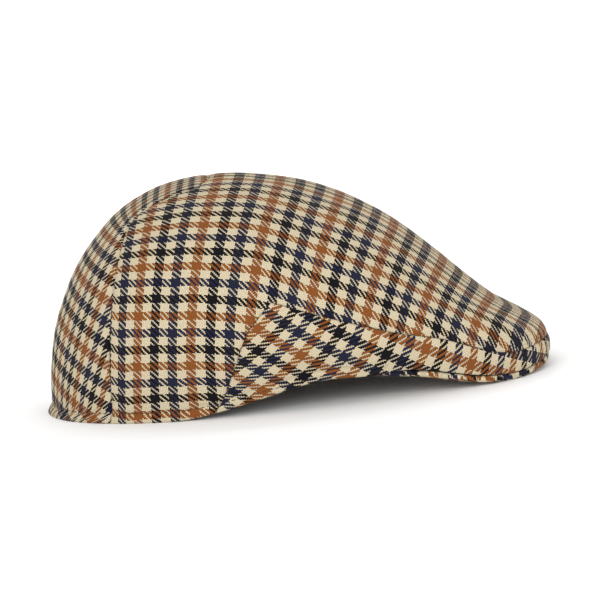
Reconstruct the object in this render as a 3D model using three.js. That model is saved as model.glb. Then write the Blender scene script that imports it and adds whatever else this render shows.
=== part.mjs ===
// Flat cap of the duckbill kind, sewn from four pieces of checked wool.
// Lengths are in millimetres. +X is where the peak points, +Y is the wearer's left, +Z is up.
// The cap lies on z = 0, on its rear hem and on the low points of the peak's rim.
import * as THREE from 'three';

// Driving sizes.
const LENGTH = 270;         // back of the cap to the front of the peak
const WIDTH = 182.4;        // across the fullest part of the crown
const HEIGHT = 116.7;       // floor to the top of the crown
const WALL = 2.2;           // the wool with its backing
const HEM_FOLD = 0.8;       // what the turned hem adds to the wall, inside
const SEAM_GAP = 0.3;       // air between two panels along a seam
const RIM = 2.4;            // thickness of the covered peak board
const TEMPLE_RISE = 14.4;   // how far the lower edge arches up at the temples
const PEAK_LENGTH = 63;     // front of the peak to the forehead
const PEAK_ARCH = 17;       // height of the peak's inner edge at the forehead
const WING_TIP = 4.3;       // width of the peak's wings where they end
const OPENING_LENGTH = 204; // head opening, front to back

// Each row is a ring round the cap, from the lower edge up to the crown point.
// Reaches and the fullest point are shares of half the length or half the width, heights shares
// of the height. Squareness is the power of the front half's superellipse, 2 being an ellipse.
// frontReach, frontHeight, backReach, backHeight, sideReach, sideHeight, fullest, squareness
const RINGS = [
  [0.995, 0.000, 0.997, 0.000, 0.925, 0.000, -0.148, 2.45],
  [1.000, 0.044, 0.976, 0.045, 0.932, 0.060, -0.148, 2.45],
  [0.999, 0.118, 0.969, 0.135, 0.970, 0.188, -0.148, 2.42],
  [0.978, 0.180, 0.955, 0.254, 0.993, 0.314, -0.155, 2.38],
  [0.919, 0.230, 0.931, 0.378, 0.998, 0.426, -0.163, 2.34],
  [0.820, 0.303, 0.893, 0.494, 0.970, 0.541, -0.178, 2.30],
  [0.709, 0.418, 0.836, 0.622, 0.909, 0.657, -0.193, 2.24],
  [0.573, 0.576, 0.753, 0.749, 0.800, 0.773, -0.207, 2.18],
  [0.390, 0.760, 0.646, 0.868, 0.635, 0.877, -0.222, 2.12],
  [0.152, 0.911, 0.521, 0.948, 0.427, 0.948, -0.237, 2.06],
  [-0.096, 0.984, 0.392, 0.988, 0.213, 0.987, -0.244, 2.02],
  [-0.244, 1.000, 0.244, 1.000, 0.000, 1.000, -0.244, 2.00],
];
const TOP_RING = RINGS.length - 1;
const BACK_SQUARENESS = 2.15;

// The lower edge: degrees round from the front, height as a share of the temple rise.
const EDGE = [
  [0, 0.34],
  [20, 0.15],
  [36, 0],
  [46, 0.14],
  [60, 0.69],
  [76, 1],
  [92, 0.48],
  [108, 0.06],
  [120, 0],
  [180, 0],
];
const EDGE_FADE = 3;        // rings over which the arch dies out upward

// Seams on the flattened cap, a disc of radius 1 with the crown point in the middle.
// Each row is forward, left. The right side mirrors the left.
const BACK_SEAM_SIDE = [
  [-0.675, 0.738],
  [-0.552, 0.610],
  [-0.425, 0.470],
  [-0.335, 0.360],
  [-0.278, 0.270],
  [-0.236, 0.195],
  [-0.190, 0.163],
  [-0.130, 0.153],
  [-0.080, 0.143],
];
const BACK_SEAM_FRONT = [
  [-0.080, 0.143],
  [-0.043, 0.115],
  [-0.020, 0.062],
  [-0.012, 0.000],
];
const BAND_REAR = [
  [-0.208, 0.978],
  [-0.103, 0.832],
  [-0.010, 0.686],
  [0.058, 0.571],
];
const BAND_TOP_SIDE = [
  [0.058, 0.571],
  [0.108, 0.591],
  [0.160, 0.606],
  [0.240, 0.620],
  [0.333, 0.626],
  [0.435, 0.600],
  [0.524, 0.584],
  [0.588, 0.563],
  [0.640, 0.530],
  [0.696, 0.464],
  [0.733, 0.386],
];
const BAND_TOP_FRONT = [
  [0.733, 0.386],
  [0.772, 0.250],
  [0.793, 0.120],
  [0.799, 0.000],
];

// How finely each stretch is cut.
const STEPS = { backSide: 12, backFront: 7, rearHem: 4, bandRear: 5, bandTop: 14, peakAround: 52, peakIn: 5 };

// Degrees round from the front at which the peak's rim slips inside the band, then stops showing,
// and where its wings end.
const RIM_INSIDE = [50, 61];
const RIM_HIDDEN = [61, 71];
const WING_END = 80;

const radians = (degrees) => degrees * Math.PI / 180;
const smooth = (from, to, value) => {
  const t = Math.min(1, Math.max(0, (value - from) / (to - from)));
  return t * t * (3 - 2 * t);
};

// Catmull-Rom through four neighbours, number by number.
const between = (a, b, c, d, t) => b.map((_, i) => 0.5 * (
  2 * b[i] + (c[i] - a[i]) * t
  + (2 * a[i] - 5 * b[i] + 4 * c[i] - d[i]) * t * t
  + (3 * b[i] - a[i] - 3 * c[i] + d[i]) * t * t * t
));

// The ring table carried one row past each end. Past the crown point front and back change places.
const beyond = (near, next) => near.map((value, i) => 2 * value - next[i]);
const last = RINGS[TOP_RING];
const before = RINGS[TOP_RING - 1];
const mirrored = [
  -before[2], before[3], -before[0], before[1], -before[4], before[5], last[6], last[7],
];
const EXTENDED = [beyond(RINGS[0], RINGS[1]), ...RINGS, mirrored];

function ringAt(ring) {
  const row = Math.min(TOP_RING - 1, Math.max(0, Math.floor(ring)));
  return between(...EXTENDED.slice(row, row + 4), ring - row);
}

// Height of the lower edge, eased between the rows of its table.
function edgeHeight(angle) {
  const degrees = Math.min(180, Math.abs(angle) * 180 / Math.PI);
  let row = 0;
  while (row < EDGE.length - 2 && degrees > EDGE[row + 1][0]) row += 1;
  const [x0, y0] = EDGE[row];
  const [x1, y1] = EDGE[row + 1];
  const slope = (k) => {
    if (k === 0 || k === EDGE.length - 1) return 0;
    const rise = [EDGE[k][1] - EDGE[k - 1][1], EDGE[k + 1][1] - EDGE[k][1]];
    return rise[0] * rise[1] <= 0 ? 0 : (rise[0] + rise[1]) / (EDGE[k + 1][0] - EDGE[k - 1][0]);
  };
  const t = (degrees - x0) / (x1 - x0);
  const share = y0 * (2 * t ** 3 - 3 * t ** 2 + 1) + y1 * (3 * t ** 2 - 2 * t ** 3)
    + (x1 - x0) * (slope(row) * (t ** 3 - 2 * t ** 2 + t) + slope(row + 1) * (t ** 3 - t ** 2));
  return TEMPLE_RISE * share;
}

// The outside of the cap at an angle round from the front and a ring number.
function outside(angle, ring) {
  const [front, frontZ, back, backZ, side, sideZ, fullest, squareness] = ringAt(ring);
  const c = Math.cos(angle);
  const s = Math.sin(angle);
  const power = c > 0 ? squareness : BACK_SQUARENESS;
  const reach = (Math.abs(c) ** power + Math.abs(s) ** power) ** (-1 / power);
  const ahead = c > 0 ? front - fullest : fullest + back;
  const height = sideZ + (frontZ - backZ) / 2 * c + ((frontZ + backZ) / 2 - sideZ) * c * c;
  return new THREE.Vector3(
    LENGTH / 2 * (fullest + ahead * reach * c),
    WIDTH / 2 * side * reach * s,
    HEIGHT * height + edgeHeight(angle) * smooth(EDGE_FADE, 0, ring),
  );
}

// The same outside from a point of the flattened cap.
const angleOf = ([u, v]) => Math.atan2(v, u);
const ringOf = ([u, v]) => TOP_RING * (1 - Math.hypot(u, v));
const onCap = (spot) => outside(angleOf(spot), ringOf(spot));

// Directions on the outside at a spot of the flattened cap: both slopes and the outward normal.
function slopesAt([u, v]) {
  const e = 0.002;
  const pull = Math.min(1, (1 - 2 * e) / Math.max(Math.hypot(u, v), e));
  const [a, b] = [u * pull, v * pull];
  const du = onCap([a + e, b]).sub(onCap([a - e, b])).divideScalar(2 * e);
  const dv = onCap([a, b + e]).sub(onCap([a, b - e])).divideScalar(2 * e);
  const normal = new THREE.Vector3().crossVectors(du, dv).normalize();
  return { du, dv, normal };
}

// A seam table cut into equal steps of its spline.
function cut(table, steps) {
  const rows = [beyond(table[0], table[1]), ...table, beyond(table.at(-1), table.at(-2))];
  return Array.from({ length: steps + 1 }, (_, i) => {
    const at = i / steps * (table.length - 1);
    const row = Math.min(table.length - 2, Math.floor(at));
    return between(...rows.slice(row, row + 4), at - row);
  });
}
const mirror = (line) => line.map(([u, v]) => [u, -v]).reverse();
const join = (...lines) => lines.flatMap((line, i) => (i === 0 ? line : line.slice(1)));
const onHem = (from, to, steps) => Array.from({ length: steps + 1 }, (_, i) => {
  const angle = from + (to - from) * i / steps;
  return [Math.cos(angle), Math.sin(angle)];
});

// Draws a closed outline in over the cap, each stretch by a distance of its own.
// The outline runs clockwise seen from outside.
function drawIn(outline, distances) {
  const count = outline.length;
  return outline.map((spot, i) => {
    const previous = (i + count - 1) % count;
    const next = (i + 1) % count;
    const { du, dv, normal } = slopesAt(spot);
    const inward = (from, to) => {
      const u = outline[to][0] - outline[from][0];
      const v = outline[to][1] - outline[from][1];
      return du.clone().multiplyScalar(u).addScaledVector(dv, v).cross(normal).normalize();
    };
    const a = inward(previous, i);
    const b = inward(i, next);
    const [da, db] = [distances[previous], distances[i]];
    const k = a.dot(b);
    const shares = k > 0.97
      ? [(da + db) / 2 / (1 + k), (da + db) / 2 / (1 + k)]
      : [(da - k * db) / (1 - k * k), (db - k * da) / (1 - k * k)];
    const move = a.multiplyScalar(shares[0]).addScaledVector(b, shares[1]);
    const [uu, uv, vv] = [du.dot(du), du.dot(dv), dv.dot(dv)];
    const [mu, mv] = [move.dot(du), move.dot(dv)];
    const area = uu * vv - uv * uv;
    return [spot[0] + (vv * mu - uv * mv) / area, spot[1] + (uu * mv - uv * mu) / area];
  });
}

// Fills a four-sided outline with a grid. Start and finish run left to right,
// left and right run from start to finish; rows keep their share of the way forward.
function fill(start, finish, left, right) {
  const columns = start.length - 1;
  const [from, to] = [left[0][0], left.at(-1)[0]];
  return left.map((_, i) => start.map((__, j) => [0, 1].map((k) => {
    const a = (left[i][0] - from) / (to - from);
    const b = j / columns;
    return (1 - a) * start[j][k] + a * finish[j][k] + (1 - b) * left[i][k] + b * right[i][k]
      - (1 - a) * ((1 - b) * start[0][k] + b * start[columns][k])
      - a * ((1 - b) * finish[0][k] + b * finish[columns][k]);
  })));
}

// The cells of a grid of numbers, each running anticlockwise by the places given.
function cells(numbers, places) {
  const quads = numbers.slice(1).flatMap((line, i) => line.slice(1).map((_, j) => (
    [numbers[i][j], numbers[i][j + 1], line[j + 1], line[j]]
  )));
  const turn = quads.reduce((sum, [a, b, c, d]) => sum
    + (places[c][0] - places[a][0]) * (places[d][1] - places[b][1])
    - (places[c][1] - places[a][1]) * (places[d][0] - places[b][0]), 0);
  return turn > 0 ? quads : quads.map((quad) => [...quad].reverse());
}

// A closed solid over numbered cells: the outer face, the inner face and a wall round every free
// edge. The cells run anticlockwise seen from outside.
function solid(outer, inner, quads) {
  const count = outer.length;
  const edges = new Set(quads.flatMap((quad) => quad.map((from, k) => `${from},${quad[(k + 1) % 4]}`)));
  const faces = [];
  quads.forEach((quad) => {
    const [a, b, c, d] = quad;
    const halves = outer[a].distanceTo(outer[c]) <= outer[b].distanceTo(outer[d])
      ? [[a, b, c], [a, c, d]]
      : [[a, b, d], [b, c, d]];
    halves.forEach(([x, y, z]) => faces.push(x, y, z, x + count, z + count, y + count));
    quad.forEach((from, k) => {
      const to = quad[(k + 1) % 4];
      if (!edges.has(`${to},${from}`)) faces.push(to, from, from + count, to, from + count, to + count);
    });
  });
  const points = [...outer, ...inner].flatMap((point) => point.toArray());
  const geometry = new THREE.BufferGeometry();
  geometry.setAttribute('position', new THREE.Float32BufferAttribute(points, 3));
  geometry.setIndex(faces);
  geometry.computeVertexNormals();
  return geometry;
}

// The wall is the wool, thicker where the hem is turned up inside behind the temples.
function wallAt(spot) {
  const behind = smooth(radians(84), radians(94), Math.abs(angleOf(spot)));
  return WALL + HEM_FOLD * behind * smooth(1.5, 1.1, ringOf(spot));
}

// Cloth over grids of spots that share their edges. The inner face lies one wall further in;
// along the lower edge the wall is cut level.
function cloth(...grids) {
  const spots = [];
  const known = new Map();
  const numberOf = (spot) => {
    const key = spot.map((value) => Math.round(value * 1e7)).join();
    if (!known.has(key)) known.set(key, spots.push(spot) - 1);
    return known.get(key);
  };
  const numbers = grids.map((grid) => grid.map((line) => line.map(numberOf)));
  const outer = spots.map(onCap);
  const inner = spots.map((spot, i) => {
    const inward = slopesAt(spot).normal.negate();
    inward.z *= smooth(0.02, 0.12, ringOf(spot));
    return outer[i].clone().addScaledVector(inward.normalize(), wallAt(spot));
  });
  return solid(outer, inner, numbers.flatMap((grid) => cells(grid, spots)));
}

// The four sides of a panel drawn in from its neighbours. Start and finish run left to right,
// left from start to finish, and right mirrors it. Gaps are one for each step along a side.
function sides(start, finish, left, gaps) {
  const [side, end, begin] = [left, finish, start].map((line) => line.length - 1);
  const outline = join(left, finish, mirror(left), [...start].reverse()).slice(0, -1);
  const drawn = drawIn(outline, [
    ...gaps.left, ...Array(end).fill(gaps.finish),
    ...[...gaps.left].reverse(), ...Array(begin).fill(gaps.start),
  ]);
  return {
    start: [...drawn.slice(2 * side + end), drawn[0]].reverse(),
    finish: drawn.slice(side, side + end + 1),
    left: drawn.slice(0, side + 1),
    right: drawn.slice(side + end, 2 * side + end + 1).reverse(),
  };
}

// Ring number at which the outside is this much higher than the lower edge.
function ringAbove(angle, rise) {
  let [low, high] = [0, 2];
  for (let i = 0; i < 24; i += 1) {
    const middle = (low + high) / 2;
    if (outside(angle, middle).z - outside(angle, 0).z < rise) low = middle;
    else high = middle;
  }
  return low;
}

// Along the peak the band stops above the rim, which shows below it.
function bandEdge(angle) {
  const degrees = Math.abs(angle) * 180 / Math.PI;
  const ring = ringAbove(angle, (RIM + SEAM_GAP) * smooth(RIM_HIDDEN[1], RIM_HIDDEN[0], degrees));
  const r = 1 - ring / TOP_RING;
  return [r * Math.cos(angle), r * Math.sin(angle)];
}

// Seams, each cut once and shared by the panels on both sides of it.
const half = SEAM_GAP / 2;
const { backSide, backFront, rearHem, bandRear, bandTop } = STEPS;
const bothWays = (table, steps) => cut(join(table, mirror(table)), 2 * steps);
const backSeamSide = cut(BACK_SEAM_SIDE, backSide);
const backSeamFront = bothWays(BACK_SEAM_FRONT, backFront);
const bandRearSeam = cut(BAND_REAR, bandRear);
const bandTopSide = cut(BAND_TOP_SIDE, bandTop);
const bandTopFront = bothWays(BAND_TOP_FRONT, backSide - bandRear + backFront);
const backAngle = angleOf(BACK_SEAM_SIDE[0]);
const rearAngle = angleOf(BAND_REAR[0]);
const cornerAngle = angleOf(BAND_TOP_SIDE[0]);

// From the back seam over the crown, down to the hem behind the temples and to the band.
// One grid covers the crown, and one on each side the flap behind the band.
function topPanel() {
  const edges = sides(
    join(backSeamSide, backSeamFront, mirror(backSeamSide)),
    bandTopFront,
    join(onHem(backAngle, rearAngle, rearHem), bandRearSeam, bandTopSide),
    { start: half, finish: half, left: [...Array(rearHem).fill(0), ...Array(bandRear + bandTop).fill(half)] },
  );
  const seam = edges.start.length - 1;
  const flap = (back, front) => {
    const [from, to] = [back.at(-1), front.at(-1)];
    const middle = [(from[0] + to[0]) * 0.54, (from[1] + to[1]) * 0.54];
    return cut([from, middle, to], rearHem);
  };
  const corner = rearHem + bandRear;
  const backLeft = edges.start.slice(0, bandRear + 1);
  const backRight = edges.start.slice(seam - bandRear).reverse();
  const foldLeft = flap(backLeft, edges.left.slice(0, corner + 1));
  const foldRight = flap(backRight, edges.right.slice(0, corner + 1));
  return cloth(
    fill(
      edges.start.slice(bandRear, seam - bandRear + 1),
      edges.finish,
      join(foldLeft, edges.left.slice(corner)),
      join(foldRight, edges.right.slice(corner)),
    ),
    fill(edges.left.slice(0, rearHem + 1), foldLeft, backLeft, edges.left.slice(rearHem, corner + 1)),
    fill(edges.right.slice(0, rearHem + 1), foldRight, backRight, edges.right.slice(rearHem, corner + 1)),
  );
}

// A tongue from the rear hem up over the back of the head.
function backPanel() {
  const start = onHem(backAngle, 2 * Math.PI - backAngle, 2 * backFront);
  const gaps = { start: 0, finish: half, left: Array(backSide).fill(half) };
  const edges = sides(start, backSeamFront, backSeamSide, gaps);
  return cloth(fill(edges.start, edges.finish, edges.left, edges.right));
}

// Round the front from temple to temple, between the top panel and the peak.
function frontBand() {
  const start = join(bandTopSide, bandTopFront, mirror(bandTopSide));
  const finish = start.map((spot) => {
    const angle = angleOf(spot);
    const back = smooth(radians(45), cornerAngle, Math.abs(angle)) * (rearAngle - cornerAngle);
    return bandEdge(angle + Math.sign(angle) * back);
  });
  const gaps = { start: half, finish: 0, left: Array(bandRear).fill(half) };
  const edges = sides(start, finish, [...bandRearSeam].reverse(), gaps);
  return cloth(fill(edges.start, edges.finish, edges.left, edges.right));
}

// The covered board: from its rim on the lower edge in to the head opening. The rim stays level
// under the band, then the board rises toward the forehead.
function peakBoard() {
  const { peakAround, peakIn } = STEPS;
  const wing = radians(WING_END);
  const clear = WALL + SEAM_GAP;
  const rimAt = (angle) => {
    const spot = [Math.cos(angle), Math.sin(angle)];
    const inward = slopesAt(spot).normal.negate().setZ(0).normalize();
    const inside = smooth(radians(RIM_INSIDE[0]), radians(RIM_INSIDE[1]), Math.abs(angle));
    return { point: outside(angle, 0).addScaledVector(inward, clear * inside), inward };
  };
  const tip = rimAt(wing).point;
  const front = LENGTH / 2 - PEAK_LENGTH;
  const centre = front - OPENING_LENGTH / 2;
  const turn = Math.acos((tip.x - centre) / (OPENING_LENGTH / 2));
  const aside = (tip.y - WING_TIP) / Math.sin(turn);
  const lower = Array.from({ length: peakAround + 1 }, (_, j) => {
    const way = 1 - 2 * j / peakAround;
    const { point, inward } = rimAt(wing * way);
    const ledge = point.clone().addScaledVector(inward, clear);
    const inner = new THREE.Vector3(
      centre + OPENING_LENGTH / 2 * Math.cos(turn * way),
      aside * Math.sin(turn * way),
      tip.z + (PEAK_ARCH - tip.z) * Math.cos(Math.PI / 2 * way) ** 2,
    );
    const rest = Array.from({ length: peakIn }, (__, i) => {
      const t = (i + 1) / peakIn;
      const p = ledge.clone().lerp(inner, t);
      p.z = ledge.z + (inner.z - ledge.z) * smooth(0, 1, t);
      return p;
    });
    return [point, ledge, ...rest];
  });
  const points = lower.flat();
  const upper = points.map((p) => new THREE.Vector3(p.x, p.y, p.z + RIM));
  const numbers = lower.map((line, i) => line.map((_, j) => i * line.length + j));
  return solid(upper, points, cells(numbers, points.map((p) => [p.x, p.y])));
}

const PIECES = [
  ['top_panel', topPanel(), 0xb9a88a],
  ['back_panel', backPanel(), 0xa89678],
  ['front_band', frontBand(), 0x9c8464],
  ['peak', peakBoard(), 0x7d6a52],
];

// Set over the middle of the floor.
const box = new THREE.Box3();
PIECES.forEach(([, geometry]) => {
  geometry.computeBoundingBox();
  box.union(geometry.boundingBox);
});
const centre = box.getCenter(new THREE.Vector3());
const cap = new THREE.Group();
PIECES.forEach(([name, geometry, color]) => {
  geometry.translate(-centre.x, -centre.y, -box.min.z);
  const mesh = new THREE.Mesh(geometry, new THREE.MeshStandardMaterial({ color, roughness: 0.95 }));
  mesh.name = name;
  cap.add(mesh);
});

export default cap;
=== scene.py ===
"""A duckbill flat cap in checked wool, sewn from four panels, lying on a pale floor.

The shape is worked out in millimetres and written to the meshes in metres. +X is where the
peak points, +Y is the wearer's left, +Z is up.
"""
import math

import bpy
import numpy as np
from mathutils import Matrix, Vector
from mathutils.kdtree import KDTree
from mathutils.noise import noise


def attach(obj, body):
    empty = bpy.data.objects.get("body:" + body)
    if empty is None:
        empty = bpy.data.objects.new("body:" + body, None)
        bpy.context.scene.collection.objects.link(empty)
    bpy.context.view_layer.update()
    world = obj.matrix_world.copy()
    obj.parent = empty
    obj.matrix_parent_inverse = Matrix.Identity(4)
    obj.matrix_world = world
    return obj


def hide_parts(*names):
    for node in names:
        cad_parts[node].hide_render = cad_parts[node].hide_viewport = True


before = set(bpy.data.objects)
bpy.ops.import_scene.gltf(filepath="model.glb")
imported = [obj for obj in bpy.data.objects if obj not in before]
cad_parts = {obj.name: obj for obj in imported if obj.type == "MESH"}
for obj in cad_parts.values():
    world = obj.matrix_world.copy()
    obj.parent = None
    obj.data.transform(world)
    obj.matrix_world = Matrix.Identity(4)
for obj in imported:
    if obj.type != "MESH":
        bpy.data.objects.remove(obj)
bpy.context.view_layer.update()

# Driving sizes, as in the solids.
LENGTH = 270.0
WIDTH = 182.4
HEIGHT = 116.7
WALL = 2.2
HEM_FOLD = 0.8
SEAM_GAP = 0.3
RIM = 2.4
TEMPLE_RISE = 14.4
PEAK_LENGTH = 63.0
PEAK_ARCH = 17.0
WING_TIP = 4.3
OPENING_LENGTH = 204.0
SET_BACK = 0.27             # how far the solids were moved back to centre them

# Rings from the lower edge to the crown point, as shares: front reach, front height,
# back reach, back height, side reach, side height, where it is fullest, squareness in front.
RINGS = np.array([
    [0.995, 0.000, 0.997, 0.000, 0.925, 0.000, -0.148, 2.45],
    [1.000, 0.044, 0.976, 0.045, 0.932, 0.060, -0.148, 2.45],
    [0.999, 0.118, 0.969, 0.135, 0.970, 0.188, -0.148, 2.42],
    [0.978, 0.180, 0.955, 0.254, 0.993, 0.314, -0.155, 2.38],
    [0.919, 0.230, 0.931, 0.378, 0.998, 0.426, -0.163, 2.34],
    [0.820, 0.303, 0.893, 0.494, 0.970, 0.541, -0.178, 2.30],
    [0.709, 0.418, 0.836, 0.622, 0.909, 0.657, -0.193, 2.24],
    [0.573, 0.576, 0.753, 0.749, 0.800, 0.773, -0.207, 2.18],
    [0.390, 0.760, 0.646, 0.868, 0.635, 0.877, -0.222, 2.12],
    [0.152, 0.911, 0.521, 0.948, 0.427, 0.948, -0.237, 2.06],
    [-0.096, 0.984, 0.392, 0.988, 0.213, 0.987, -0.244, 2.02],
    [-0.244, 1.000, 0.244, 1.000, 0.000, 1.000, -0.244, 2.00],
])
TOP_RING = len(RINGS) - 1
BACK_SQUARENESS = 2.15

# The lower edge: degrees round from the front, height as a share of the temple rise.
EDGE = np.array([
    [0, 0.34], [20, 0.15], [36, 0], [46, 0.14], [60, 0.69],
    [76, 1], [92, 0.48], [108, 0.06], [120, 0], [180, 0],
])
EDGE_FADE = 3.0             # ring number at which its rise has faded out

# Seams on the flattened cap, a disc of radius 1 round the crown point: forward, left.
BACK_SEAM_SIDE = np.array([
    [-0.675, 0.738], [-0.552, 0.610], [-0.425, 0.470], [-0.335, 0.360], [-0.278, 0.270],
    [-0.236, 0.195], [-0.190, 0.163], [-0.130, 0.153], [-0.080, 0.143],
])
BACK_SEAM_FRONT = np.array([[-0.080, 0.143], [-0.043, 0.115], [-0.020, 0.062], [-0.012, 0.000]])
BAND_REAR = np.array([[-0.208, 0.978], [-0.103, 0.832], [-0.010, 0.686], [0.058, 0.571]])
BAND_TOP_SIDE = np.array([
    [0.058, 0.571], [0.108, 0.591], [0.160, 0.606], [0.240, 0.620], [0.333, 0.626],
    [0.435, 0.600], [0.524, 0.584], [0.588, 0.563], [0.640, 0.530], [0.696, 0.464],
    [0.733, 0.386],
])
BAND_TOP_FRONT = np.array([[0.733, 0.386], [0.772, 0.250], [0.793, 0.120], [0.799, 0.000]])
STEP = 0.002                # half the step over which slopes are taken there

# The peak's rim in degrees round from the front: slips inside the band, stops showing, ends.
RIM_INSIDE = (50.0, 61.0)
RIM_HIDDEN = (61.0, 71.0)
WING_END = 80.0
RIM_PUFF = 0.9              # how much thicker the cover is where it goes round the peak's rim, mm
PUFF_ENDS = (12.0, 4.0)     # how far in from the rim that thickness is gone, and still whole, mm
PEAK_ROLL = (0.04, 0.18, 0.42, 0.8, 1.3, 1.9)   # rows that round its edges over, mm in from them
PEAK_ROWS = 22
PEAK_AROUND = 420
WING_ROUND = (0.3, 0.45)    # roll at the wings' ends: distance there, and more for each step, mm
BAND_SLANT_FROM = 45.0      # degrees round from which the band's lines lean back to its rear

# Steps along each stretch of seam.
BACK_SIDE_LOW = 34
BACK_SIDE_HIGH = 62
BACK_FRONT = 22
REAR_HEM = 34
BAND_BACK = 34
BAND_TOP = 104
FOLD_REACH = 0.54           # how far out the line bends where the top panel's grids meet

# Rows beside an edge: how far in they lie from a seam, and from the hem, mm. The first six
# round the edge over, the others are close together where the hem's stitching runs.
EDGE_ROWS = np.array([
    [0.06, 0.06], [0.22, 0.22], [0.5, 0.5], [0.9, 0.9], [1.4, 1.5], [2.0, 2.5],
    [2.4, 3.4], [2.7, 4.1], [2.9, 4.6], [3.1, 4.95], [3.3, 5.2], [3.5, 5.45], [3.7, 5.8],
    [3.9, 6.3], [4.2, 7.0],
])
ROLLED = 6
FAR_IN = 9.0                # stands for the distance of all that lies inside those rows, mm
SEAM_CLEAR = 0.02           # how far a panel keeps from the seam itself, mm
STRAIGHT = 0.97             # cosine above which two steps of an outline count as one line

# The check: one repeat is a coloured stripe and a cream one, of six threads each.
REPEAT_ALONG = 10.8         # along the crown, mm
REPEAT_DOWN = 8.9           # down the sides, mm
STRIPE_START = 4.86
STRIPE_BOW = 25.6           # how far the stripes over the crown stand ahead of the sides, mm
STRIPE_BOW_OVER = 160.0     # the length down the side over which they bow, mm
STRIPES_CLOSE = 0.07        # share by which they are closer down there
ROWS_LEAN = -0.0022         # rows more to a mm, 100 mm ahead of the middle
ROWS_SPREAD = 0.0183        # the same, by the square of that distance
THREADS = 12
ROW_SHIFT = np.array([
    [-100, 8.3], [-88, 10.5], [-76, 11.7], [-60, 12.7], [-40, 13.1], [-15, 13.1], [15, 13.8],
    [45, 13.9], [75, 13.6],
])
# Place in the check at floor height in the middle of the front, and of the back, in repeats.
BAND_START = (-2.08, -21.7)
BACK_START = (-3.04, -8.14)
LEVEL_FROM = 105.0          # way up the back, mm, from which the cap counts as level
LEVEL_OVER = 30.0           # length over which it comes to, mm
PEAK_REPEAT = (9.6, 9.9)    # across and along the peak, mm
PEAK_START = 0.2
# How much further a coloured float reaches, in threads: over the crown, and along the cap.
FULLER_OVER = 0.9
FULLER_ALONG = 0.75

STITCH_LINE = 5.2           # the hem's stitching above the lower edge, mm
STITCH_LEAN = 0.05          # how much less than that it rises, as the wall leans, mm
STITCH_PITCH = 3.3
STITCH_LONG = 2.5
STITCH_THICK = 0.42
STITCH_THIN = 0.45          # share of that at a stitch's ends
STITCH_RISE = 0.20          # how far its middle stands above its ends, mm
STITCH_SUNK = 0.12          # how deep its ends are drawn in, mm
STITCH_STRAY = (0.2, 0.07)  # how far a stitch strays along the row, and turns aside, mm
STITCH_STEPS = 6
STITCH_SIDES = 8
STITCH_ENDS = ((0, 1, 2, 3), (4, 5, 6, 7), (7, 0, 3, 4))    # faces that close its eight-sided end
STITCHES_FROM = 72.0        # where they begin, degrees round from the front
STITCHES_START = 1.0        # the first one's distance from there, mm

# The turned-up hem inside, in degrees round from the front and ring numbers.
HEM_SIDES = (84.0, 94.0)    # it grows to its full thickness between these
HEM_FROM = 88.0             # from here back the right side of the cloth shows inside
HEM_TOP = 1.42              # where that ends
HEM_THINS = (1.5, 1.35)     # where its thickness is gone, and whole
HEM_ROUND = 0.5             # cloth taken up in going round the edge, in rings
LEVEL_RINGS = (0.9, 0.1)    # towards the edge the wall's thickness turns level between these
ALLOWANCE = 6.5             # width of the seam allowance pressed flat inside, mm
ALLOWANCE_THICK = 0.5
ALLOWANCE_EDGE = 0.5        # it thins out over this much to each side of its width, mm
ALLOWANCE_CREASE = (0.2, 2.0)   # and is creased down to the seam between these distances, mm

# Relief of the cloth, a row for each hump or hollow: height, distance of its middle, width, mm.
SEAM_RELIEF = np.array([[-0.42, 0.0, 2.6], [0.13, 4.2, 2.2]])
HEM_RELIEF = np.array([[-0.70, STITCH_LINE, 0.9], [0.20, 2.6, 1.6]])
REAR_RIDGES = np.array([[0.26, 1.9, 0.5], [0.208, 3.5, 0.5]])
SEAM_PUCKERED = (2.6, 3.2)
HEM_PUCKERED = (STITCH_LINE, 2.4)
HEM_STITCHED = (66.0, 76.0)     # degrees round from the front over which the hem's relief begins
CALM = 6.0                  # soft unevenness grows over this distance from an edge, mm
# Unevenness of each kind: height, size of its features, mm, and seed.
BROAD = (0.34, 34.0, 3.1)
SMALL = (0.12, 11.0, 7.7)
SEAM_PUCKERS = (0.17, 5.2, 1.3)
HEM_PUCKERS = (0.14, 4.4, 5.9)
INSIDE_WAVES = (0.25, 21.0, 9.4)
PEAK_WAVES = (0.22, 26.0, 4.4)


def smooth(start, end, value):
    t = np.clip((np.asarray(value, float) - start) / (end - start), 0, 1)
    return t * t * (3 - 2 * t)


def between(a, b, c, d, t):
    """A smooth curve through four neighbours, between the middle two."""
    return 0.5 * (2 * b + (c - a) * t + (2 * a - 5 * b + 4 * c - d) * t ** 2
                  + (3 * b - a - 3 * c + d) * t ** 3)


def unit(vectors):
    return vectors / np.maximum(np.linalg.norm(vectors, axis=-1, keepdims=True), 1e-12)


def polar(angle, radius=1.0):
    return np.stack([radius * np.cos(angle), radius * np.sin(angle)], -1)


def lengths(line):
    """Length along a line up to each of its points."""
    return np.r_[0, np.cumsum(np.linalg.norm(np.diff(line, axis=0), axis=1))]


def places(at, length, line):
    """Places on a line at given lengths along it."""
    return np.stack([np.interp(at, length, column) for column in line.T], -1)


def extended_rings():
    """The ring table with one row past each end; past the crown point front and back swap."""
    last, near = RINGS[-1], RINGS[-2]
    past = np.array([-near[2], near[3], -near[0], near[1], -near[4], near[5], last[6], last[7]])
    return np.vstack([2 * RINGS[0] - RINGS[1], RINGS, past])


EXTENDED = extended_rings()


def ring_at(ring):
    row = np.clip(np.floor(ring).astype(int), 0, TOP_RING - 1)
    t = (ring - row)[..., None]
    return between(EXTENDED[row], EXTENDED[row + 1], EXTENDED[row + 2], EXTENDED[row + 3], t)


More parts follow.
